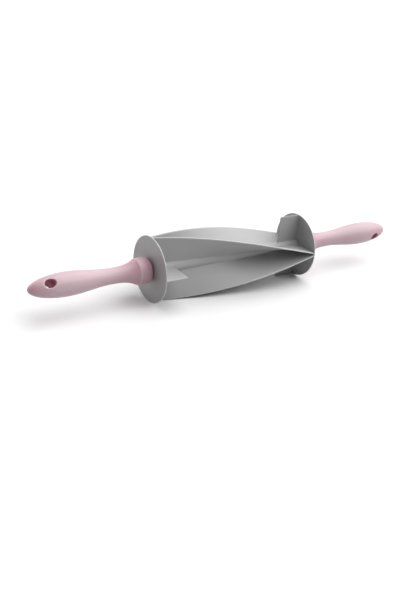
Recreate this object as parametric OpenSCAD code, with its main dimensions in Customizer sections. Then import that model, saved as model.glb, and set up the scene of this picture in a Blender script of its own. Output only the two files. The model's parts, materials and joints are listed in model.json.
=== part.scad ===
// Croissant cutter roller: a hand roller that cuts flat dough into rows of pointed triangles.
// The roller's axis is X, Z is up and the origin is on the axis, midway between the two end discs.

/* [Roller] */
// Diameter of the end discs and of every cutting edge
roller_d = 62; // [50:1:90]
// Length of the roller over the outer faces of its end discs
roller_l = 166; // [120:1:240]
// Diameter of the core that carries the blades
core_d = 10.4; // [6:0.1:14]
// Thickness of an end disc
disc_t = 1; // [0.8:0.1:3]
// Bevel at the outer corner of an end disc's rim
disc_bevel = 0.3; // [0.1:0.1:0.6]

/* [Blades] */
// Thickness of a blade where it meets the core
blade_root_t = 2; // [1.5:0.1:3]
// Thickness of a blade just below its edge bevel
blade_t = 1.3; // [1:0.1:2.5]
// Width of the flat land along a cutting edge
blade_land = 0.8; // [0.3:0.1:1]
// Radial height of the bevel below a cutting edge
blade_bevel_h = 1.2; // [0.5:0.1:4]
// Distance between the middles of two cutting edges where they meet at a disc
blade_meeting = 2.4; // [0:0.1:6]
// Length of the cutting edge of a short notch blade, from its disc
notch_l = 21.2; // [10:0.2:35]
// Extra length of a notch blade at its root
notch_rake = 1.2; // [0:0.1:8]

/* [Axle] */
// Diameter of the steel axle
axle_d = 4; // [3:0.1:5]
// Chamfer at each end of the axle
axle_chamfer = 0.5; // [0.2:0.1:1]
// Length of axle beyond a retaining clip
axle_tail = 4; // [2:0.5:10]
// Diameter of the washer between a disc and a handle
washer_d = 12; // [8:0.5:20]
// Thickness of the washer
washer_t = 1.7; // [0.5:0.1:3]
// Thickness of a retaining clip
clip_t = 0.8; // [0.5:0.1:1.2]
// Depth of the axle groove that holds a clip
clip_groove = 0.5; // [0.3:0.1:0.8]
// Width of the mouth that a clip is pushed on by
clip_mouth = 2.6; // [1.5:0.1:2.9]

/* [Handles] */
// Diameter of the collar beside a disc
collar_d = 24.6; // [22.6:0.2:34]
// Length of the collar
collar_l = 12.4; // [6:0.1:16]
// Length of the collar's soft shoulder on the grip side
collar_shoulder = 4.4; // [1:0.1:5]
// Rounding of the collar's corner on the disc side
collar_corner = 0.7; // [0.3:0.1:2]
// Diameter of the collar's sleeve inside the grip
sleeve_d = 9.2; // [7.4:0.1:10]
// Length of the collar's sleeve inside the grip
sleeve_l = 24; // [12:1:40]
// Diameter of the grip at the collar
flare_d = 22.2; // [15:0.1:22.2]
// Length of the flare from the collar to the neck
flare_l = 23.6; // [12:0.2:40]
// Diameter of the grip at its neck
neck_d = 14.7; // [12:0.1:20]
// Length from the neck to the thickest place of the grip
swell_l = 43; // [30:0.2:80]
// Diameter of the grip at its thickest place
swell_d = 21.8; // [16:0.1:32]
// Length of the rounded end beyond the thickest place
tip_l = 35; // [25:0.5:50]
// Diameter of the hanging hole's straight bore
hang_hole_d = 7.6; // [4:0.2:8]
// Length of the straight bore in the middle of the grip
hang_bore_l = 8; // [4:0.5:12]
// Width of the hanging hole's oval mouths
hang_mouth_w = 8.1; // [8:0.1:11]
// Length of the hanging hole's oval mouths along the grip
hang_mouth_l = 10.3; // [9:0.1:13]
// Distance of the hanging hole from the tip
hang_hole_back = 18.2; // [14:0.2:24]
// Height of the chamfer round the mouths of the hanging hole
hang_lip = 0.5; // [0.2:0.1:2]
// Turn of the left handle's hanging hole above the front of the roller, in degrees
left_turn = 44; // [-90:1:90]
// Turn of the right handle's hanging hole above the front of the roller, in degrees
right_turn = -21; // [-90:1:90]

/* [Hidden] */
$fn = 96;
// Radial clearance of a handle's bush on the axle
run_clear = 0.05;
// Free space along the axle at each side of a handle
end_float = 0.3;
// Radial room round a retaining clip
clip_room = 0.8;
// Free depth of a grip's bore beyond the axle
bore_room = 3;
// Length by which a cut runs past the solid that it cuts
overrun = 1;
// Exponent of the flare's curve
flare_power = 2.5;
// Segments along a blade, up its sides and across its root
blade_steps = 48;
side_steps = 4;
root_steps = 6;
// Segments in a curved stretch of a turned outline
curve_steps = 14;
round_steps = 6;

roller_r = roller_d / 2;
core_r = core_d / 2;
axle_r = axle_d / 2;
sleeve_r = sleeve_d / 2;
disc_face = roller_l / 2;
disc_inside = disc_face - disc_t;
blade_l = 2 * disc_inside;
// Angle between a blade's middle and the plane of its mitre, at each end
blade_lead = asin(blade_meeting / 2 / roller_r);
bevel_start_r = roller_r - blade_bevel_h;

// Places along a handle, measured from the outer face of its end disc
collar_at = washer_t + end_float;
shoulder_at = collar_at + collar_l;
neck_at = shoulder_at + flare_l;
swell_at = neck_at + swell_l;
tip_at = swell_at + tip_l;
hang_hole_at = tip_at - hang_hole_back;
sleeve_end_at = shoulder_at + sleeve_l;
clip_at = sleeve_end_at + end_float;
axle_end_at = clip_at + clip_t + axle_tail;
bore_end_at = axle_end_at + bore_room;

grey_plastic = [0.56, 0.56, 0.58];
pink_plastic = [0.82, 0.70, 0.75];
bare_steel = [0.76, 0.77, 0.79];

// Thickness of a blade at radius r: a moulding draft from root to bevel, then the edge bevel
function blade_thickness(r) =
    r < bevel_start_r
    ? blade_root_t + (blade_t - blade_root_t) * (r - core_r) / (bevel_start_r - core_r)
    : blade_t + (blade_land - blade_t) * (r - bevel_start_r) / blade_bevel_h;

// Angle that half a blade's thickness spans at radius r
function half_angle(r) = asin(blade_thickness(r) / (2 * r));

// Radii of the points up one side of a blade, from the core to the cutting edge
side_radii = concat(
    [for (i = [0 : side_steps]) core_r + (bevel_start_r - core_r) * i / side_steps],
    [roller_r]
);
last_side = len(side_radii) - 1;

// Section of a blade whose middle stands at the given angle from Z towards Y, as [radius, angle].
// The angles stop at the two planes through the axis, where the next blade's mitre begins.
function blade_section(middle) = let (
    low = [for (r = side_radii) max(0, middle - half_angle(r))],
    high = [for (r = side_radii) min(90, middle + half_angle(r))]
) concat(
    [for (i = [0 : last_side]) [side_radii[i], high[i]]],
    [for (i = [last_side : -1 : 0]) [side_radii[i], low[i]]],
    [for (k = [1 : root_steps - 1]) [core_r, low[0] + (high[0] - low[0]) * k / root_steps]]
);

// Triangles of a blade's end: pairs from side to side, then a fan over the hollow root
first_low = 2 * last_side + 1;
end_faces = concat(
    [
        for (i = [1 : last_side - 1])
        each [
            [i, i + 1, first_low - i - 1],
            [i, first_low - i - 1, first_low - i]
        ]
    ],
    [for (k = [first_low - 1 : first_low + root_steps - 2]) [1, k, k + 1]],
    [[1, first_low + root_steps - 1, 0]]
);

// One helical blade: it turns about a quarter round the core, from Z at the left disc to Y at the right
module helical_blade() {
    turn = 90 - 2 * blade_lead;
    sections = [for (s = [0 : blade_steps]) blade_section(blade_lead + turn * s / blade_steps)];
    ring = len(sections[0]);
    points = [
        for (s = [0 : blade_steps], p = sections[s])
        [blade_l * s / blade_steps - disc_inside, p[0] * sin(p[1]), p[0] * cos(p[1])]
    ];
    sides = [
        for (s = [0 : blade_steps - 1], i = [0 : ring - 1])
        let (
            here = s * ring + i,
            beside = s * ring + (i + 1) % ring
        )
        each [
            [here, beside, beside + ring],
            [here, beside + ring, here + ring]
        ]
    ];
    ends = concat(
        [for (f = end_faces) [f[2], f[1], f[0]]],
        [for (f = end_faces) [for (i = f) blade_steps * ring + i]]
    );
    polyhedron(points, concat(sides, ends), convexity = 6);
}

// A flat notch blade that stands up from the core beside the right disc
module notch_blade() {
    difference() {
        intersection() {
            translate([disc_inside - notch_l - notch_rake, 0, 0])
                rotate([90, 0, 90])
                    linear_extrude(notch_l + notch_rake)
                        polygon([
                            [-blade_root_t / 2, 0],
                            [-blade_root_t / 2, core_r],
                            [-blade_t / 2, bevel_start_r],
                            [-blade_land / 2, roller_r],
                            [blade_land / 2, roller_r],
                            [blade_t / 2, bevel_start_r],
                            [blade_root_t / 2, core_r],
                            [blade_root_t / 2, 0]
                        ]);
            translate([0, blade_root_t, 0])
                rotate([90, 0, 0])
                    linear_extrude(2 * blade_root_t)
                        polygon([
                            [disc_inside - notch_l - notch_rake, 0],
                            [disc_inside - notch_l, roller_r],
                            [disc_inside, roller_r],
                            [disc_inside, 0]
                        ]);
        }
        translate([disc_inside - notch_l - notch_rake - overrun, 0, 0])
            rotate([0, 90, 0])
                cylinder(r = core_r, h = notch_l + notch_rake + 2 * overrun);
    }
}

// Turned pieces are drawn as [radius, distance from the right disc's outer face]
module turned(outline) {
    translate([disc_face, 0, 0])
        rotate([0, 90, 0])
            rotate_extrude()
                polygon(outline);
}

// Arc of a turned outline about a centre, between two angles
function arc(centre, r, from, to) = [
    for (k = [0 : round_steps])
    let (a = from + (to - from) * k / round_steps)
    centre + r * [cos(a), sin(a)]
];

// Radius of the grip at a distance from the disc: flare, swell, then an elliptical end
function grip_r(at) =
    at < neck_at
    ? (neck_d + (flare_d - neck_d) * pow((neck_at - at) / flare_l, flare_power)) / 2
    : at < swell_at
    ? (neck_d + (swell_d - neck_d) * (1 - cos(180 * (at - neck_at) / swell_l)) / 2) / 2
    : swell_d / 2 * sqrt(max(0, 1 - pow((at - swell_at) / tip_l, 2)));

// Outline of the grip from the collar's shoulder to its tip, with even angles round the end
grip_outline = concat(
    [for (k = [0 : curve_steps - 1]) shoulder_at + flare_l * k / curve_steps],
    [for (k = [0 : curve_steps - 1]) neck_at + swell_l * k / curve_steps],
    [for (k = [0 : curve_steps]) swell_at + tip_l * sin(90 * k / curve_steps)]
);

// An end disc: a plain plate on the axle, with its sharp side towards the blades
module end_disc() {
    turned([
        [axle_r, -disc_t],
        [roller_r, -disc_t],
        [roller_r, -disc_bevel],
        [roller_r - disc_bevel, 0],
        [axle_r, 0]
    ]);
}

module washer() {
    turned([[axle_r, 0], [washer_d / 2, 0], [washer_d / 2, washer_t], [axle_r, washer_t]]);
}

// A push-on retaining clip: a flat ring, open on one side, that grips the axle's groove
module retaining_clip() {
    translate([disc_face + clip_at, 0, 0])
        rotate([0, 90, 0])
            difference() {
                cylinder(r = sleeve_r - clip_room, h = clip_t);
                translate([0, 0, -overrun])
                    cylinder(r = axle_r - clip_groove, h = clip_t + 2 * overrun);
                translate([-clip_mouth / 2, 0, -overrun])
                    cube([clip_mouth, sleeve_r, clip_t + 2 * overrun]);
            }
}

// The handle's collar and bush in one: the ring beside the disc, whose shoulder falls as a parabola to the
// grip, and the sleeve that runs on the axle
module collar_bush() {
    collar_r = collar_d / 2;
    shoulder_drop = collar_r - flare_d / 2;
    turned(concat(
        [[axle_r + run_clear, collar_at]],
        arc([collar_r - collar_corner, collar_at + collar_corner], collar_corner, -90, 0),
        [
            for (k = [0 : round_steps])
            let (part = k / round_steps)
            [collar_r - shoulder_drop * part * part, shoulder_at - collar_shoulder * (1 - part)]
        ],
        [
            [sleeve_r, shoulder_at],
            [sleeve_r, sleeve_end_at],
            [axle_r + run_clear, sleeve_end_at]
        ]
    ));
}

// Half of the hanging hole's cut, turned about the hole's axis: from a radius at the end of the straight
// bore it widens to the mouth, then opens out as a chamfered lip
module hole_half(inner_r) {
    bore_half = hang_bore_l / 2;
    mouth_r = hang_mouth_w / 2;
    mouth = grip_r(hang_hole_at) - hang_lip;
    top = swell_d / 2 + overrun;
    rotate_extrude()
        polygon([
            [0, 0],
            [inner_r, 0],
            [inner_r, bore_half],
            [mouth_r, mouth],
            [mouth_r + top - mouth, top],
            [0, top]
        ]);
}

// The cut for the hanging hole: a round bore in the middle, and a mouth at each side that is drawn out
// along the grip
module hanging_hole(turn) {
    hole_r = hang_hole_d / 2;
    draw_out = (hang_mouth_l - hang_mouth_w) / 2;
    translate([disc_face + hang_hole_at, 0, 0])
        rotate([90 - turn, 0, 0])
            for (flip = [0, 180])
                rotate([flip, 0, 0]) {
                    hole_half(hole_r);
                    for (side = [-1, 1])
                        translate([side * draw_out, 0, 0]) hole_half(hole_r - draw_out);
                }
}

// A moulded grip: bored for the collar's sleeve, with a hanging hole near its tip
module grip(turn) {
    difference() {
        turned(concat(
            [[0, bore_end_at], [sleeve_r, bore_end_at], [sleeve_r, shoulder_at]],
            [for (at = grip_outline) [grip_r(at), at]]
        ));
        hanging_hole(turn);
    }
}

module left_side() {
    mirror([1, 0, 0]) children();
}

module core_tube() {
    color(grey_plastic)
        translate([-disc_inside, 0, 0])
            rotate([0, 90, 0])
                difference() {
                    cylinder(r = core_r, h = blade_l);
                    translate([0, 0, -overrun])
                        cylinder(r = axle_r, h = blade_l + 2 * overrun);
                }
}

module blade_back_upper() {
    color(grey_plastic) helical_blade();
}

module blade_back_lower() {
    color(grey_plastic) mirror([0, 0, 1]) helical_blade();
}

module blade_front_upper() {
    color(grey_plastic) mirror([0, 1, 0]) helical_blade();
}

module blade_front_lower() {
    color(grey_plastic) rotate([180, 0, 0]) helical_blade();
}

module notch_right_upper() {
    color(grey_plastic) notch_blade();
}

module notch_right_lower() {
    color(grey_plastic) mirror([0, 0, 1]) notch_blade();
}

module notch_left_front() {
    color(grey_plastic) left_side() rotate([90, 0, 0]) notch_blade();
}

module notch_left_back() {
    color(grey_plastic) left_side() rotate([-90, 0, 0]) notch_blade();
}

module disc_right() {
    color(grey_plastic) end_disc();
}

module disc_left() {
    color(grey_plastic) left_side() end_disc();
}

// The steel axle: turned with two clip grooves and a chamfer at each end
module axle() {
    groove_r = axle_r - clip_groove;
    half_outline = [
        [groove_r, disc_face + clip_at],
        [groove_r, disc_face + clip_at + clip_t],
        [axle_r, disc_face + clip_at + clip_t],
        [axle_r, disc_face + axle_end_at - axle_chamfer],
        [axle_r - axle_chamfer, disc_face + axle_end_at]
    ];
    right_half = concat([[axle_r, disc_face + clip_at]], half_outline);
    left_half = [for (i = [len(right_half) - 1 : -1 : 0]) [right_half[i][0], -right_half[i][1]]];
    color(bare_steel)
        rotate([0, 90, 0])
            rotate_extrude()
                polygon(concat(
                    [[0, -disc_face - axle_end_at]],
                    left_half,
                    right_half,
                    [[0, disc_face + axle_end_at]]
                ));
}

module washer_right() {
    color(bare_steel) washer();
}

module washer_left() {
    color(bare_steel) left_side() washer();
}

module clip_right() {
    color(bare_steel) retaining_clip();
}

module clip_left() {
    color(bare_steel) left_side() retaining_clip();
}

module collar_right() {
    color(pink_plastic) collar_bush();
}

module collar_left() {
    color(pink_plastic) left_side() collar_bush();
}

module handle_right() {
    color(pink_plastic) grip(right_turn);
}

module handle_left() {
    color(pink_plastic) left_side() grip(left_turn);
}

core_tube();
blade_front_upper();
blade_front_lower();
blade_back_upper();
blade_back_lower();
notch_left_front();
notch_left_back();
notch_right_upper();
notch_right_lower();
disc_left();
disc_right();
axle();
washer_left();
washer_right();
clip_left();
clip_right();
collar_left();
collar_right();
handle_left();
handle_right();
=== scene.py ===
import json
from math import pi, radians

import bmesh
import bpy
import numpy as np
from mathutils import Matrix, Vector


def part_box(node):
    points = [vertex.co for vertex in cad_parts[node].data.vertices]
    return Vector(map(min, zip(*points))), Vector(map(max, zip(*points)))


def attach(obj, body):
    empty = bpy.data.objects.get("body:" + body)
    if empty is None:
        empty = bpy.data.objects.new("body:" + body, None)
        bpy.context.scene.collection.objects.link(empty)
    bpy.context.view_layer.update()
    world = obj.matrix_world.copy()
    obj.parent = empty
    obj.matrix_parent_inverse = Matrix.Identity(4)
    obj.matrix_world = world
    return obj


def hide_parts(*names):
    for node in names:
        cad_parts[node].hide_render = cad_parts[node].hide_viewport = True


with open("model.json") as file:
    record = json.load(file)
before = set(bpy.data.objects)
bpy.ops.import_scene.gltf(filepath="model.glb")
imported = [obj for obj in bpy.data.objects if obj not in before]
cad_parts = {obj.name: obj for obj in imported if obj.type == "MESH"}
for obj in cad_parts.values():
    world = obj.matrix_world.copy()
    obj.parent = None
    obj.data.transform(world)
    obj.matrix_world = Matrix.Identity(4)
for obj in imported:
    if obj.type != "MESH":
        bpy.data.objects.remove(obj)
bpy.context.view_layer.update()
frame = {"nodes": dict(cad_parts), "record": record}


# Core tube: the thin round middle of the roller, moulded in matte grey plastic.
# It slides over the steel axle from disc to disc, and every blade grows out of it.

def grid_quads(rows, columns, wrap_rows=False):
    """Quads of a grid of points whose columns close on themselves; the rows close too if asked."""
    last = rows if wrap_rows else rows - 1
    i, j = np.meshgrid(np.arange(last), np.arange(columns), indexing="ij")
    here, right = i * columns + j, i * columns + (j + 1) % columns
    below = (i + 1) % rows * columns
    corners = [here, right, below + (j + 1) % columns, below + j]
    return np.stack(corners, axis=-1).reshape(-1, 4)


def turned_ring(outline, sides=160):
    """Ring turned about the roller's axis: each (x, radius) point of a closed outline is carried
    round X, so that point i at angle a is (x_i, -r_i cos a, r_i sin a)."""
    x, r = np.asarray(outline).T[:, :, None]
    a = np.linspace(0, 2 * pi, sides, endpoint=False)[None, :]
    points = np.stack([x + 0 * a, -r * np.cos(a), r * np.sin(a)], axis=-1)
    return points.reshape(-1, 3), grid_quads(len(outline), sides, wrap_rows=True)


def corner_arc(centre, radius, start, end, steps=8):
    """Quarter of a rounded corner in an outline: centre plus radius at angles from start to end."""
    a = np.radians(np.linspace(start, end, steps + 1))
    return np.asarray(centre) + radius * np.stack([np.cos(a), np.sin(a)], axis=-1)


weld_gap = 1e-7
sharp_angle = radians(38)


def add_piece(name, points, faces, material, node, body, edge=None):
    """Mesh object from arrays: seams are welded, faces turned outwards and hard corners kept sharp.
    The edge attribute says how much paler tint each point gets as a painted highlight, from 0 to 1,
    and below 0 how much darker tint it gets as painted shade down a hole or a gap."""
    mesh = bpy.data.meshes.new(name)
    mesh.from_pydata(points, [], [list(f) for f in faces])
    painted_light_attr = mesh.attributes.new("edge", "FLOAT", "POINT")
    painted_light_attr.data.foreach_set("value", np.zeros(len(points)) if edge is None else edge)
    shell = bmesh.new()
    shell.from_mesh(mesh)
    bmesh.ops.remove_doubles(shell, verts=shell.verts, dist=weld_gap)
    bmesh.ops.delete(shell, geom=[v for v in shell.verts if not v.link_faces], context="VERTS")
    bmesh.ops.recalc_face_normals(shell, faces=shell.faces)
    shell.to_mesh(mesh)
    shell.free()
    mesh.shade_smooth()
    mesh.set_sharp_from_angle(angle=sharp_angle)
    mesh.materials.append(material)
    piece = bpy.data.objects.new(name, mesh)
    bpy.context.scene.collection.objects.link(piece)
    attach(piece, body)
    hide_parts(node)
    return piece


def moulded_skin_group():
    """Skin of a moulding: Grain is the fine spark-eroded texture of the mould, Cloud a slow drift
    in tint across the piece, Painted highlight the edge attribute's painted highlight broken up by
    the grain, and Painted shade how far a point lies in painted shade down a hole or a gap."""
    group = bpy.data.node_groups.new("moulded_skin", "ShaderNodeTree")
    sockets = group.interface
    sockets.new_socket("Grain size", in_out="INPUT", socket_type="NodeSocketFloat")
    sockets.new_socket("Cloud size", in_out="INPUT", socket_type="NodeSocketFloat")
    for output in ("Grain", "Cloud", "Painted highlight", "Depth"):
        sockets.new_socket(output, in_out="OUTPUT", socket_type="NodeSocketFloat")
    nodes, links = group.nodes, group.links
    inputs, outputs = nodes.new("NodeGroupInput"), nodes.new("NodeGroupOutput")
    place = nodes.new("ShaderNodeTexCoord")
    noises = {}
    for output, size, detail in (("Grain", "Grain size", 3.0), ("Cloud", "Cloud size", 2.0)):
        scale = nodes.new("ShaderNodeMath")
        scale.operation = "DIVIDE"
        scale.inputs[0].default_value = 1.0
        links.new(inputs.outputs[size], scale.inputs[1])
        noise = nodes.new("ShaderNodeTexNoise")
        noise.inputs["Detail"].default_value = detail
        links.new(place.outputs["Object"], noise.inputs["Vector"])
        links.new(scale.outputs[0], noise.inputs["Scale"])
        links.new(noise.outputs["Fac"], outputs.inputs[output])
        noises[output] = noise
    painted_light_attr = nodes.new("ShaderNodeAttribute")
    painted_light_attr.attribute_name = "edge"
    broken = nodes.new("ShaderNodeMapRange")
    broken.inputs["From Min"].default_value = 0.25
    broken.inputs["From Max"].default_value = 0.7
    broken.inputs["To Min"].default_value = 0.75
    links.new(noises["Grain"].outputs["Fac"], broken.inputs["Value"])
    highlight_share = nodes.new("ShaderNodeMath")
    highlight_share.operation = "MULTIPLY"
    highlight_share.use_clamp = True
    links.new(painted_light_attr.outputs["Fac"], highlight_share.inputs[0])
    links.new(broken.outputs["Result"], highlight_share.inputs[1])
    links.new(highlight_share.outputs[0], outputs.inputs["Painted highlight"])
    painted_shade_mask = nodes.new("ShaderNodeMath")
    painted_shade_mask.operation = "MULTIPLY"
    painted_shade_mask.use_clamp = True
    painted_shade_mask.inputs[1].default_value = -1.0
    links.new(painted_light_attr.outputs["Fac"], painted_shade_mask.inputs[0])
    links.new(painted_shade_mask.outputs[0], outputs.inputs["Depth"])
    return group


moulded_skin = moulded_skin_group()
light_spread, light_spread_l = (1.0, 0.8, 0.8), 0.002
hole_roughness = 0.7
grain_strength = 0.35


def moulded_plastic(name, tint, deep_tint, highlight_tint, hole_shade_tint, gloss, shine, glow, grain_size,
                    cloud_size, grain_depth):
    """Plastic straight from the mould: the tint drifts with the cloud, edges get a paler painted
    highlight, holes and gaps get darker painted shade and a duller gloss, and the grain breaks up the
    gloss and the surface. Glow is the share of light that spreads under the skin before it comes out."""
    material = bpy.data.materials.new(name)
    material.use_nodes = True
    nodes, links = material.node_tree.nodes, material.node_tree.links
    shader = nodes["Principled BSDF"]
    shader.inputs["Specular IOR Level"].default_value = shine
    shader.inputs["Subsurface Weight"].default_value = glow
    shader.inputs["Subsurface Radius"].default_value = light_spread
    shader.inputs["Subsurface Scale"].default_value = light_spread_l
    skin = nodes.new("ShaderNodeGroup")
    skin.node_tree = moulded_skin
    skin.inputs["Grain size"].default_value = grain_size
    skin.inputs["Cloud size"].default_value = cloud_size
    drift = nodes.new("ShaderNodeMix")
    drift.data_type = "RGBA"
    drift.inputs["A"].default_value = (*deep_tint, 1)
    drift.inputs["B"].default_value = (*tint, 1)
    links.new(skin.outputs["Cloud"], drift.inputs["Factor"])
    # Painted highlight: points marked on the edge attribute are mixed toward the paler highlight tint.
    pale = nodes.new("ShaderNodeMix")
    pale.data_type = "RGBA"
    pale.inputs["B"].default_value = (*highlight_tint, 1)
    links.new(skin.outputs["Painted highlight"], pale.inputs["Factor"])
    links.new(drift.outputs["Result"], pale.inputs["A"])
    # Painted shade: points down a hole or a gap are mixed toward the darker hole tint.
    hole_shade_mix = nodes.new("ShaderNodeMix")
    hole_shade_mix.data_type = "RGBA"
    hole_shade_mix.inputs["B"].default_value = (*hole_shade_tint, 1)
    links.new(skin.outputs["Depth"], hole_shade_mix.inputs["Factor"])
    links.new(pale.outputs["Result"], hole_shade_mix.inputs["A"])
    links.new(hole_shade_mix.outputs["Result"], shader.inputs["Base Color"])
    sheen = nodes.new("ShaderNodeMapRange")
    sheen.inputs["To Min"].default_value = gloss[0]
    sheen.inputs["To Max"].default_value = gloss[1]
    links.new(skin.outputs["Grain"], sheen.inputs["Value"])
    dull = nodes.new("ShaderNodeMix")
    dull.inputs["B"].default_value = hole_roughness
    links.new(skin.outputs["Depth"], dull.inputs["Factor"])
    links.new(sheen.outputs["Result"], dull.inputs["A"])
    links.new(dull.outputs["Result"], shader.inputs["Roughness"])
    bump = nodes.new("ShaderNodeBump")
    bump.inputs["Strength"].default_value = grain_strength
    bump.inputs["Distance"].default_value = grain_depth
    links.new(skin.outputs["Grain"], bump.inputs["Height"])
    links.new(bump.outputs["Normal"], shader.inputs["Normal"])
    return material


grey_plastic = moulded_plastic(
    "grey_plastic",
    tint=(0.425, 0.425, 0.427),
    deep_tint=(0.40, 0.40, 0.405),
    highlight_tint=(0.76, 0.76, 0.76),
    hole_shade_tint=(0.30, 0.30, 0.30),
    gloss=(0.42, 0.56),
    shine=0.75,
    glow=0.0,
    grain_size=0.0009,
    cloud_size=0.06,
    grain_depth=0.00006,
)

core_low, core_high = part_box("core_tube")
core_r = core_high.z
axle_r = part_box("axle")[1].z
core_outline = [
    (core_low.x, axle_r),
    (core_low.x, core_r),
    (core_high.x, core_r),
    (core_high.x, axle_r),
]
core = add_piece("core", *turned_ring(core_outline), grey_plastic, "core_tube", "roller")


# Helical blades: four thin plastic blades that cut the long sides of the dough triangles.
# Each turns a quarter round the core between the discs, tapers from root to edge for the mould,
# and meets the next blade in a mitre where two cuts run to a point.

roller_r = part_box("disc_left")[1].z
blade_root_t, blade_t, blade_land = 0.0020, 0.0013, 0.0008
blade_bevel_h = 0.0012
blade_fillet = 0.0005
blade_edge_round = 0.0002
blade_least_half_t = 1e-5
land_reach = 1.01
# Share of paler tint painted along each blade's land as a highlight.
blade_highlight = 0.9
blade_meeting = 0.0024


def blade_profile(web_rows=24, round_rows=6):
    """Half of a blade's section as (radius, half thickness): a fillet at the core, a straight draft
    up the web, the bevel, and the rounded corner of the land along the cutting edge."""
    b = np.linspace(0, pi / 2, round_rows + 1)
    root = np.stack([
        core_r + blade_fillet * (1 - np.cos(b)),
        blade_root_t / 2 + blade_fillet * (1 - np.sin(b)),
    ], axis=-1)
    rise = np.linspace(0, 1, web_rows + 1)[1:]
    web_base, web_top = core_r + blade_fillet, roller_r - blade_bevel_h
    web = np.stack([
        web_base + (web_top - web_base) * rise,
        (blade_root_t + (blade_t - blade_root_t) * rise) / 2,
    ], axis=-1)
    land = np.stack([
        roller_r - blade_edge_round * (1 - np.sin(b)),
        blade_land / 2 - blade_edge_round * (1 - np.cos(b)),
    ], axis=-1)
    return np.concatenate([root, web, land])


def blade_rings(middle, lowest, highest, shave=0.0, root_points=6):
    """Closed sections of a blade at each station, as radius and angle from the standing direction:
    up one side, down the other and back round the core. Angles stop at lowest and highest, the
    mitre planes, and shave is taken off each side."""
    radius, half = blade_profile().T
    spread = np.arcsin(np.maximum(half - np.atleast_1d(shave)[:, None], blade_least_half_t) / radius)
    middle = np.atleast_1d(middle)[:, None]
    low = np.maximum(lowest, middle - spread)
    high = np.minimum(highest, middle + spread)
    part = np.linspace(0, 1, root_points + 1)[None, 1:-1]
    root = low[:, :1] + (high[:, :1] - low[:, :1]) * part
    angles = np.concatenate([high, low[:, ::-1], root], axis=1)
    radii = np.concatenate([radius, radius[::-1], np.full(root_points - 1, core_r)])
    return radii[None, :] + 0 * angles, angles


def capped_tube(points):
    """Faces of a tube of rings: quads between neighbouring rings and one face over each end."""
    stations, ring = points.shape[:2]
    ends = [list(range(ring)), list(range((stations - 1) * ring, stations * ring))]
    return grid_quads(stations, ring).tolist() + ends


def land_highlight(radii, highlight_share):
    """Edge attribute of a blade: a painted highlight on the land and its rounded corners, 0 below
    them.
    """
    return np.where(radii > roller_r - land_reach * blade_edge_round, highlight_share, 0.0).ravel()


def helical_blade(towards_y, towards_z, stations=200):
    """A blade's section turned from Z to Y, in even steps from left disc to right. It starts and ends
    a small lead angle short of the quarter, so two cutting edges meet side by side at a disc."""
    along = np.linspace(0, 1, stations)
    lead = np.arcsin(blade_meeting / 2 / roller_r)
    radii, angles = blade_rings(lead + (pi / 2 - 2 * lead) * along, 0.0, pi / 2)
    x = core_low.x + (core_high.x - core_low.x) * along[:, None] + 0 * radii
    points = np.stack([
        x,
        towards_y * radii * np.sin(angles),
        towards_z * radii * np.cos(angles),
    ], axis=-1)
    return points.reshape(-1, 3), capped_tube(points), land_highlight(radii, blade_highlight)


helical_blades = {
    "blade_front_upper": (-1, 1),
    "blade_front_lower": (-1, -1),
    "blade_back_upper": (1, 1),
    "blade_back_lower": (1, -1),
}
for node, (towards_y, towards_z) in helical_blades.items():
    # land holds the painted highlight along the blade's cutting edge.
    points, faces, land = helical_blade(towards_y, towards_z)
    blade = add_piece(node + "_skin", points, faces, grey_plastic, node, "roller", land)


# Notch blades: short flat plates beside the discs that nick the middle of each triangle's base.
# They are moulded with the core and stand square to it, with a free end that leans back.

notch_l, notch_rake = 0.0212, 0.0012
notch_end_round = 0.0003
# Share of paler tint painted along each notch blade's land as a highlight.
notch_highlight = 0.15


def notch_blade(disc_x, inward, stand_y, stand_z, rows=12, round_rows=5):
    """A blade's section carried along X from the disc to a leaning free end: the length shrinks
    with height, and the last rows are shaved to round the end's corners."""
    b = np.linspace(0, pi / 2, round_rows + 1)
    share = np.concatenate([np.linspace(0, 1, rows, endpoint=False), np.ones(round_rows + 1)])
    back = np.concatenate([np.zeros(rows), notch_end_round * (1 - np.sin(b))])
    shave = np.concatenate([np.zeros(rows), notch_end_round * (1 - np.cos(b))])
    radii, angles = blade_rings(np.zeros(len(share)), -pi, pi, shave)
    length = notch_l + notch_rake * (1 - radii / roller_r)
    x = disc_x + inward * (length * share[:, None] - back[:, None])
    up, across = radii * np.cos(angles), radii * np.sin(angles)
    points = np.stack([
        x,
        stand_y * up + stand_z * across,
        stand_z * up - stand_y * across,
    ], axis=-1)
    return points.reshape(-1, 3), capped_tube(points), land_highlight(radii, notch_highlight)


notch_blades = {
    "notch_left_front": (core_low.x, 1, -1, 0),
    "notch_left_back": (core_low.x, 1, 1, 0),
    "notch_right_upper": (core_high.x, -1, 0, 1),
    "notch_right_lower": (core_high.x, -1, 0, -1),
}
for node, place in notch_blades.items():
    points, faces, land = notch_blade(*place)
    blade = add_piece(node + "_skin", points, faces, grey_plastic, node, "roller", land)


# End discs: flat grey plates that close the roller, trim the sheet's edges and roll on the board.
# Each is moulded with a narrow square rim, sharp inside and slightly bevelled outside.

disc_rim_round = 0.00018
disc_rim_highlight = 0.6
disc_bevel = 0.0003
bevel_bow, rim_reach = 0.3, 0.5
face_support = 0.0006
disc_sides = 256


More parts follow.
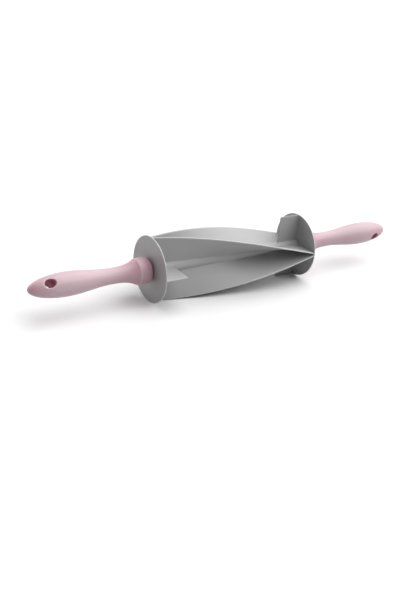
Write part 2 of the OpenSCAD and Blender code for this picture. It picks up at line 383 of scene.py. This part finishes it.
def disc_outline(inside_x, outside_x):
    """Outline of a disc from bore to rim and back: flat inner face, rounded rim, bevel, outer face."""
    out = 1 if outside_x > inside_x else -1
    inner_corner = corner_arc((0, roller_r - disc_rim_round), disc_rim_round, 180, 90)
    inner_corner[:, 0] = inside_x + out * (inner_corner[:, 0] + disc_rim_round)
    return np.concatenate([
        [(inside_x, axle_r), (inside_x, roller_r - face_support)],
        inner_corner,
        [
            (outside_x - out * disc_bevel, roller_r),
            (outside_x - out * disc_bevel * bevel_bow, roller_r - disc_bevel * bevel_bow),
            (outside_x, roller_r - disc_bevel),
            (outside_x, roller_r - disc_bevel - face_support),
            (outside_x, axle_r),
        ],
    ])


for node in ("disc_left", "disc_right"):
    low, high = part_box(node)
    inside_x, outside_x = (high.x, low.x) if high.x < 0 else (low.x, high.x)
    outline = disc_outline(inside_x, outside_x)
    points, faces = turned_ring(outline, disc_sides)
    # Painted highlight: a paler tint on the rim and the outer half of the bevel.
    rim = disc_rim_highlight * np.repeat(outline[:, 1] > roller_r - disc_bevel * rim_reach, disc_sides)
    disc = add_piece(node + "_skin", points, faces, grey_plastic, node, "roller", rim)


# Axle, washers and clips: turned steel rod with a push-on clip near each end, and a thin washer
# that keeps each handle off its disc. Only the washers' edges show, in the gap.

steel = bpy.data.materials.new("turned_steel")
steel.use_nodes = True
nodes, links = steel.node_tree.nodes, steel.node_tree.links
shader = nodes["Principled BSDF"]
shader.inputs["Metallic"].default_value = 1.0
place = nodes.new("ShaderNodeTexCoord")
stretch = nodes.new("ShaderNodeMapping")
stretch.inputs["Scale"].default_value = (1.0, 0.02, 0.02)
turning = nodes.new("ShaderNodeTexNoise")
turning.inputs["Scale"].default_value = 4000.0
turning.inputs["Detail"].default_value = 2.0
tone = nodes.new("ShaderNodeMix")
tone.data_type = "RGBA"
tone.inputs["A"].default_value = (0.52, 0.53, 0.55, 1)
tone.inputs["B"].default_value = (0.66, 0.67, 0.69, 1)
polish = nodes.new("ShaderNodeMapRange")
polish.inputs["To Min"].default_value = 0.26
polish.inputs["To Max"].default_value = 0.42
links.new(place.outputs["Object"], stretch.inputs["Vector"])
links.new(stretch.outputs["Vector"], turning.inputs["Vector"])
links.new(turning.outputs["Fac"], tone.inputs["Factor"])
links.new(tone.outputs["Result"], shader.inputs["Base Color"])
links.new(turning.outputs["Fac"], polish.inputs["Value"])
links.new(polish.outputs["Result"], shader.inputs["Roughness"])
for node in ("axle", "washer_left", "washer_right", "clip_left", "clip_right"):
    frame["nodes"][node].data.materials.clear()
    frame["nodes"][node].data.materials.append(steel)


# Collars: a pink moulded ring beside each disc, in one piece with the bush that turns on the axle.
# It is well rounded beside the disc, has a firm edge where the grip begins, and its sleeve is
# pressed into the grip.

pink_plastic = moulded_plastic(
    "pink_plastic",
    tint=(0.63, 0.395, 0.455),
    deep_tint=(0.59, 0.36, 0.425),
    highlight_tint=(0.74, 0.62, 0.66),
    hole_shade_tint=(0.52, 0.16, 0.25),
    gloss=(0.30, 0.42),
    shine=0.5,
    glow=0.35,
    grain_size=0.0007,
    cloud_size=0.05,
    grain_depth=0.00004,
)
collar_corner_l, collar_corner_h = 0.0060, 0.0022
collar_taper, edge_lift, edge_power = 0.00070, 0.00030, 8
# Strength and spread of the painted highlight on the ridge, and of the painted shade in the gap.
ridge_highlight, ridge_highlight_power, gap_power = 0.75, 4, 3
seam_round = 0.00010
sleeve_r = 0.0046
run_clear = 0.00005


def collar_outline(node, grip_node):
    """Outline of a collar and its sleeve, from the bore at the disc out over the ring and back: a
    quarter ellipse beside the disc, then a slight taper that falls as a parabola and lifts again
    by a high power to a thin raised edge. Also the edge attribute: a painted highlight along that
    edge, and below 0 painted shade in the gap beside the disc."""
    low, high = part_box(node)
    grip_low, grip_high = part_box(grip_node)
    out = 1 if high.x > 0 else -1
    face_x, sleeve_x = (low.x, high.x) if out > 0 else (high.x, low.x)
    shoulder_x = grip_low.x if out > 0 else grip_high.x
    length = abs(shoulder_x - face_x)
    bore_r = axle_r + run_clear
    corner = corner_arc((1, 0), 1, 180, 90, steps=16)
    corner = corner * (collar_corner_l, collar_corner_h) + (0, high.z - collar_corner_h)
    part = np.linspace(0, 1, 25)[1:]
    taper = np.stack([
        collar_corner_l + (length - seam_round - collar_corner_l) * part,
        high.z - collar_taper * part ** 2 + edge_lift * part ** edge_power,
    ], axis=-1)
    inner = [(0, bore_r), (0, high.z - 2 * collar_corner_h)]
    back = [
        (length, high.z - collar_taper + edge_lift - seam_round),
        (length, sleeve_r),
        (abs(sleeve_x - face_x), sleeve_r),
        (abs(sleeve_x - face_x), bore_r),
    ]
    ring = np.concatenate([inner, corner, taper, back])
    ring[:, 0] = face_x + out * ring[:, 0]
    # Painted highlight along the ridge where the grip begins, and painted shade in the gap beside the
    # disc.
    collar_light_marks = ridge_highlight * part ** ridge_highlight_power
    gap = -np.concatenate([np.ones(len(inner)), np.linspace(1, 0, len(corner)) ** gap_power])
    return ring, np.concatenate([gap, collar_light_marks, np.zeros(len(back))])


for node, grip_node, body in (
    ("collar_left", "handle_left", "left_handle"),
    ("collar_right", "handle_right", "right_handle"),
):
    outline, collar_light_marks = collar_outline(node, grip_node)
    points, faces = turned_ring(outline)
    collar_light_marks = np.repeat(collar_light_marks, len(points) // len(outline))
    collar = add_piece(node + "_skin", points, faces, pink_plastic, node, body, collar_light_marks)


# Grips: pink moulded handles with a slim neck, a full swell for the palm and a rounded tip.
# A hole with a soft lip runs through each near its tip, for hanging, and a bore takes the sleeve.

disc_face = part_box("disc_right")[1].x
shoulder_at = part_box("handle_right")[0].x - disc_face
tip_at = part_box("handle_right")[1].x - disc_face
flare_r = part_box("collar_right")[1].z - collar_taper + edge_lift - seam_round
neck_r, swell_r = 0.00735, 0.0109
flare_l, tip_l = 0.0236, 0.0350
flare_power = 2.9
neck_at, swell_at = shoulder_at + flare_l, tip_at - tip_l
bore_room, hole_back = 0.003, 0.0182
bore_end_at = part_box("axle")[1].x - disc_face + bore_room
hole_at = tip_at - hole_back
mouth_half_l, mouth_half_w = 0.00515, 0.00405
hole_r, hole_straight, hole_lip = 0.0038, 0.0040, 0.0006
# Fade of the lip's painted highlight, and fade and middle level of the painted shade down the bore.
lip_fade, wall_shade_fade, middle_shade = 4, 3, 0.4
axis_r = 1e-6
patch_l, patch_turn = 0.0085, radians(48)
# Share of paler tint painted on the palm as sheen.
palm_sheen = 0.5
palm_fade_l, tip_fade_l = 0.0300, 0.0260


def grip_radius(at):
    """Radius of the grip at a distance from its disc: a flare that falls to the neck as a power,
    half a cosine wave from neck to swell, and a quarter ellipse to the tip."""
    flare = neck_r + (flare_r - neck_r) * np.clip((neck_at - at) / flare_l, 0, 1) ** flare_power
    wave = np.clip((at - neck_at) / (swell_at - neck_at), 0, 1)
    swell = neck_r + (swell_r - neck_r) * (1 - np.cos(pi * wave)) / 2
    end = swell_r * np.sqrt(np.clip(1 - (np.maximum(at - swell_at, 0) / tip_l) ** 2, 0, 1))
    return np.where(at < neck_at, flare, np.where(at < swell_at, swell, end))


def painted_palm_sheen(at):
    """How much paler tint is painted on the grip as sheen: nothing at its two ends, and a full share
    between, reached over the fade lengths in a smooth step 3 t t - 2 t t t."""
    rise = np.clip((at - shoulder_at) / palm_fade_l, 0, 1)
    fall = np.clip((tip_at - at) / tip_fade_l, 0, 1)
    return palm_sheen * (3 * rise ** 2 - 2 * rise ** 3) * (3 * fall ** 2 - 2 * fall ** 3)


def grip(side, turn, cells=32, between=28):
    """The grip's outline turned round X, with two square patches left open, and each patch filled
    by rings that change from the square to the oval lip of the hanging hole, draw in to its round
    bore and run down to the middle, where the two halves of the bore meet."""
    before = np.linspace(shoulder_at, hole_at - patch_l, 96)
    across = np.linspace(hole_at - patch_l, hole_at + patch_l, cells + 1)
    start = np.arcsin((across[-1] - swell_at) / tip_l)
    beyond = swell_at + tip_l * np.sin(np.linspace(start, pi / 2, 24))
    inner_at = np.array([bore_end_at, bore_end_at, shoulder_at])
    inner_r = np.array([axis_r, sleeve_r, sleeve_r])
    outer_at = np.concatenate([before, across[1:], beyond[1:]])
    at = np.concatenate([inner_at, outer_at])
    r = np.concatenate([inner_r, np.maximum(grip_radius(outer_at), axis_r)])
    first = len(inner_at) + len(before) - 1

    narrow = np.linspace(0, 2 * patch_turn, cells, endpoint=False)
    wide = 2 * patch_turn + np.linspace(0, pi - 2 * patch_turn, between, endpoint=False)
    columns = turn - patch_turn + np.concatenate([narrow, wide, narrow + pi, wide + pi])
    count = len(columns)
    skin = np.stack([
        side * (disc_face + at)[:, None] + 0 * columns,
        -r[:, None] * np.cos(columns),
        r[:, None] * np.sin(columns),
    ], axis=-1).reshape(-1, 3)
    quads = grid_quads(len(at), count).reshape(-1, count, 4)
    keep = np.ones(quads.shape[:2], bool)
    keep[first:first + cells, :cells] = False
    keep[first:first + cells, cells + between:2 * cells + between] = False
    ends = [list(range(count)), list(range(len(skin) - count, len(skin)))]
    points, faces = [skin], quads[keep].tolist() + ends
    # Edge attribute of the skin: the palm's painted sheen, none inside the sleeve's bore.
    edge = [np.repeat(painted_palm_sheen(at) * (r > sleeve_r), count)]

    step = np.linspace(-1, 1, cells + 1)
    ahead = np.concatenate([-np.ones(cells), step[:-1], np.ones(cells), step[:0:-1]])
    aside = np.concatenate([step[:-1], np.ones(cells), step[:0:-1], -np.ones(cells)])
    square_l = patch_l * ahead
    square_w = grip_radius(hole_at + square_l) * np.sin(patch_turn * aside)
    spoke = np.arctan2(square_w / mouth_half_w, square_l / mouth_half_l)
    out = np.linspace(1, 0, 14)[:, None]
    bend = np.linspace(0, pi / 2, 9)[1:, None]
    inward = np.linspace(0, 1, 9)[1:, None]
    down = np.linspace(1, 0, 5)[1:, None]

    def hole_rows(square, mouth, direction):
        """Places along one axis of the patch, row by row from the square to the middle of the bore."""
        rim = mouth + hole_lip
        return np.concatenate([
            rim * direction + (square - rim * direction) * out,
            (mouth + hole_lip * (1 - np.sin(bend))) * direction,
            (mouth + (hole_r - mouth) * np.sin(inward * pi / 2)) * direction,
            (hole_r + 0 * down) * direction,
        ])

    ds = hole_rows(square_l, mouth_half_l, np.cos(spoke))
    w = hole_rows(square_w, mouth_half_w, np.sin(spoke))
    height = np.sqrt(grip_radius(hole_at + ds) ** 2 - w ** 2)
    lip_rows, mouth_row = slice(len(out), len(out) + len(bend)), len(out) + len(bend) - 1
    height[lip_rows] -= hole_lip * (1 - np.cos(bend))
    mouth_height = height[mouth_row]
    height[mouth_row + 1:-len(down)] = mouth_height + (hole_straight - mouth_height) * inward
    height[-len(down):] = hole_straight * down
    # Painted shade down the bore: full below the mouth, and lighter at the middle as painted light
    # from the far opening.
    bore_shade = middle_shade + (1 - middle_shade) * down
    wall_shade = -np.concatenate([np.clip(inward * wall_shade_fade, 0, 1), bore_shade]) + 0 * spoke
    # Painted highlight on the lip round the mouth, raised to the palm's painted sheen where that is
    # paler.
    lip = np.concatenate([np.clip(1 - out * lip_fade, 0, 1), 1 - bend / pi]) + 0 * spoke
    lip = np.concatenate([np.maximum(lip, painted_palm_sheen(hole_at + ds[:len(lip)])), wall_shade])
    for facing in (turn, turn + pi):
        rings = np.stack([
            side * (disc_face + hole_at + ds),
            -height * np.cos(facing) + w * np.sin(facing),
            height * np.sin(facing) + w * np.cos(facing),
        ], axis=-1).reshape(-1, 3)
        faces += (grid_quads(len(ds), len(spoke)) + sum(map(len, points))).tolist()
        points.append(rings)
        edge.append(lip.ravel())
    return np.concatenate(points), faces, np.concatenate(edge)


for node, side, mount, body in (
    ("handle_left", -1, 0, "left_handle"),
    ("handle_right", 1, 1, "right_handle"),
):
    axis = frame["record"]["mounts"][mount]["axis"]
    # lip holds the grip's painted sheen, the lip's painted highlight and the bore's painted shade.
    points, faces, lip = grip(side, np.arctan2(axis[2], -axis[1]))
    handle = add_piece(node + "_skin", points, faces, pink_plastic, node, body, lip)


# Board, light and camera: a white board under the discs, a broad soft lamp high on the right, a
# weaker one behind on the left, and the camera where the photograph was taken from. Board and room
# look white, but light the part less than white ones would.

board_half = 8.0
board_mesh = bpy.data.meshes.new("board")
board_corners = [(-1, -1), (1, -1), (1, 1), (-1, 1)]
board_mesh.from_pydata(
    [(board_half * x, board_half * y, -roller_r) for x, y in board_corners], [], [(0, 1, 2, 3)]
)
board = bpy.data.objects.new("board", board_mesh)
bpy.context.scene.collection.objects.link(board)


def seen_directly(nodes, links):
    """1 for rays that show the surroundings, in the picture, in gloss or through glass, else 0."""
    ray = nodes.new("ShaderNodeLightPath")
    seen = ray.outputs["Is Camera Ray"]
    for kind in ("Is Glossy Ray", "Is Transmission Ray"):
        either = nodes.new("ShaderNodeMath")
        either.operation = "MAXIMUM"
        links.new(seen, either.inputs[0])
        links.new(ray.outputs[kind], either.inputs[1])
        seen = either.outputs[0]
    return seen


board_white = bpy.data.materials.new("board_white")
board_white.use_nodes = True
nodes, links = board_white.node_tree.nodes, board_white.node_tree.links
board_shader = nodes["Principled BSDF"]
board_shader.inputs["Roughness"].default_value = 0.9
board_shader.inputs["Specular IOR Level"].default_value = 0.1
board_tint = nodes.new("ShaderNodeMix")
board_tint.data_type = "RGBA"
board_tint.inputs["A"].default_value = (0.63, 0.63, 0.63, 1)
board_tint.inputs["B"].default_value = (1.0, 1.0, 1.0, 1)
links.new(seen_directly(nodes, links), board_tint.inputs["Factor"])
links.new(board_tint.outputs["Result"], board_shader.inputs["Base Color"])
board_mesh.materials.append(board_white)

back_lamp = bpy.data.lights.new("back_lamp", "SUN")
back_lamp.energy = 1.0
back_lamp.angle = radians(50)
back_from = Vector((-0.37, 0.80, 0.47))
back_stand = bpy.data.objects.new("back_lamp", back_lamp)
back_stand.rotation_euler = back_from.to_track_quat("Z", "Y").to_euler()
bpy.context.scene.collection.objects.link(back_stand)

lamp = bpy.data.lights.new("broad_lamp", "SUN")
lamp.energy = 3.6
lamp.angle = radians(85)
lamp_from = Vector((0.51, -0.14, 0.85))
lamp_stand = bpy.data.objects.new("broad_lamp", lamp)
lamp_stand.rotation_euler = lamp_from.to_track_quat("Z", "Y").to_euler()
bpy.context.scene.collection.objects.link(lamp_stand)

room = bpy.data.worlds.new("pale_room")
room.use_nodes = True
nodes, links = room.node_tree.nodes, room.node_tree.links
strength = nodes.new("ShaderNodeMapRange")
strength.inputs["To Min"].default_value = 0.03
strength.inputs["To Max"].default_value = 1.0
links.new(seen_directly(nodes, links), strength.inputs["Value"])
links.new(strength.outputs["Result"], nodes["Background"].inputs["Strength"])
nodes["Background"].inputs["Color"].default_value = (1, 1, 1, 1)
bpy.context.scene.world = room

camera_place = (-0.4460, -0.6339, 0.3048)
camera_yaw, camera_pitch, camera_roll = radians(33.56), radians(24.48), radians(4.01)
focal_pixels, long_side_pixels = 878, 601
lens = bpy.data.cameras.new("camera")
lens.sensor_width = 36.0
lens.lens = focal_pixels / long_side_pixels * lens.sensor_width
camera = bpy.data.objects.new("camera", lens)
camera.matrix_world = (
    Matrix.Translation(camera_place)
    @ Matrix.Rotation(-camera_yaw, 4, "Z")
    @ Matrix.Rotation(pi / 2 - camera_pitch, 4, "X")
    @ Matrix.Rotation(camera_roll, 4, "Z")
)
bpy.context.scene.collection.objects.link(camera)
bpy.context.scene.camera = camera
bpy.context.scene.view_settings.view_transform = "Standard"
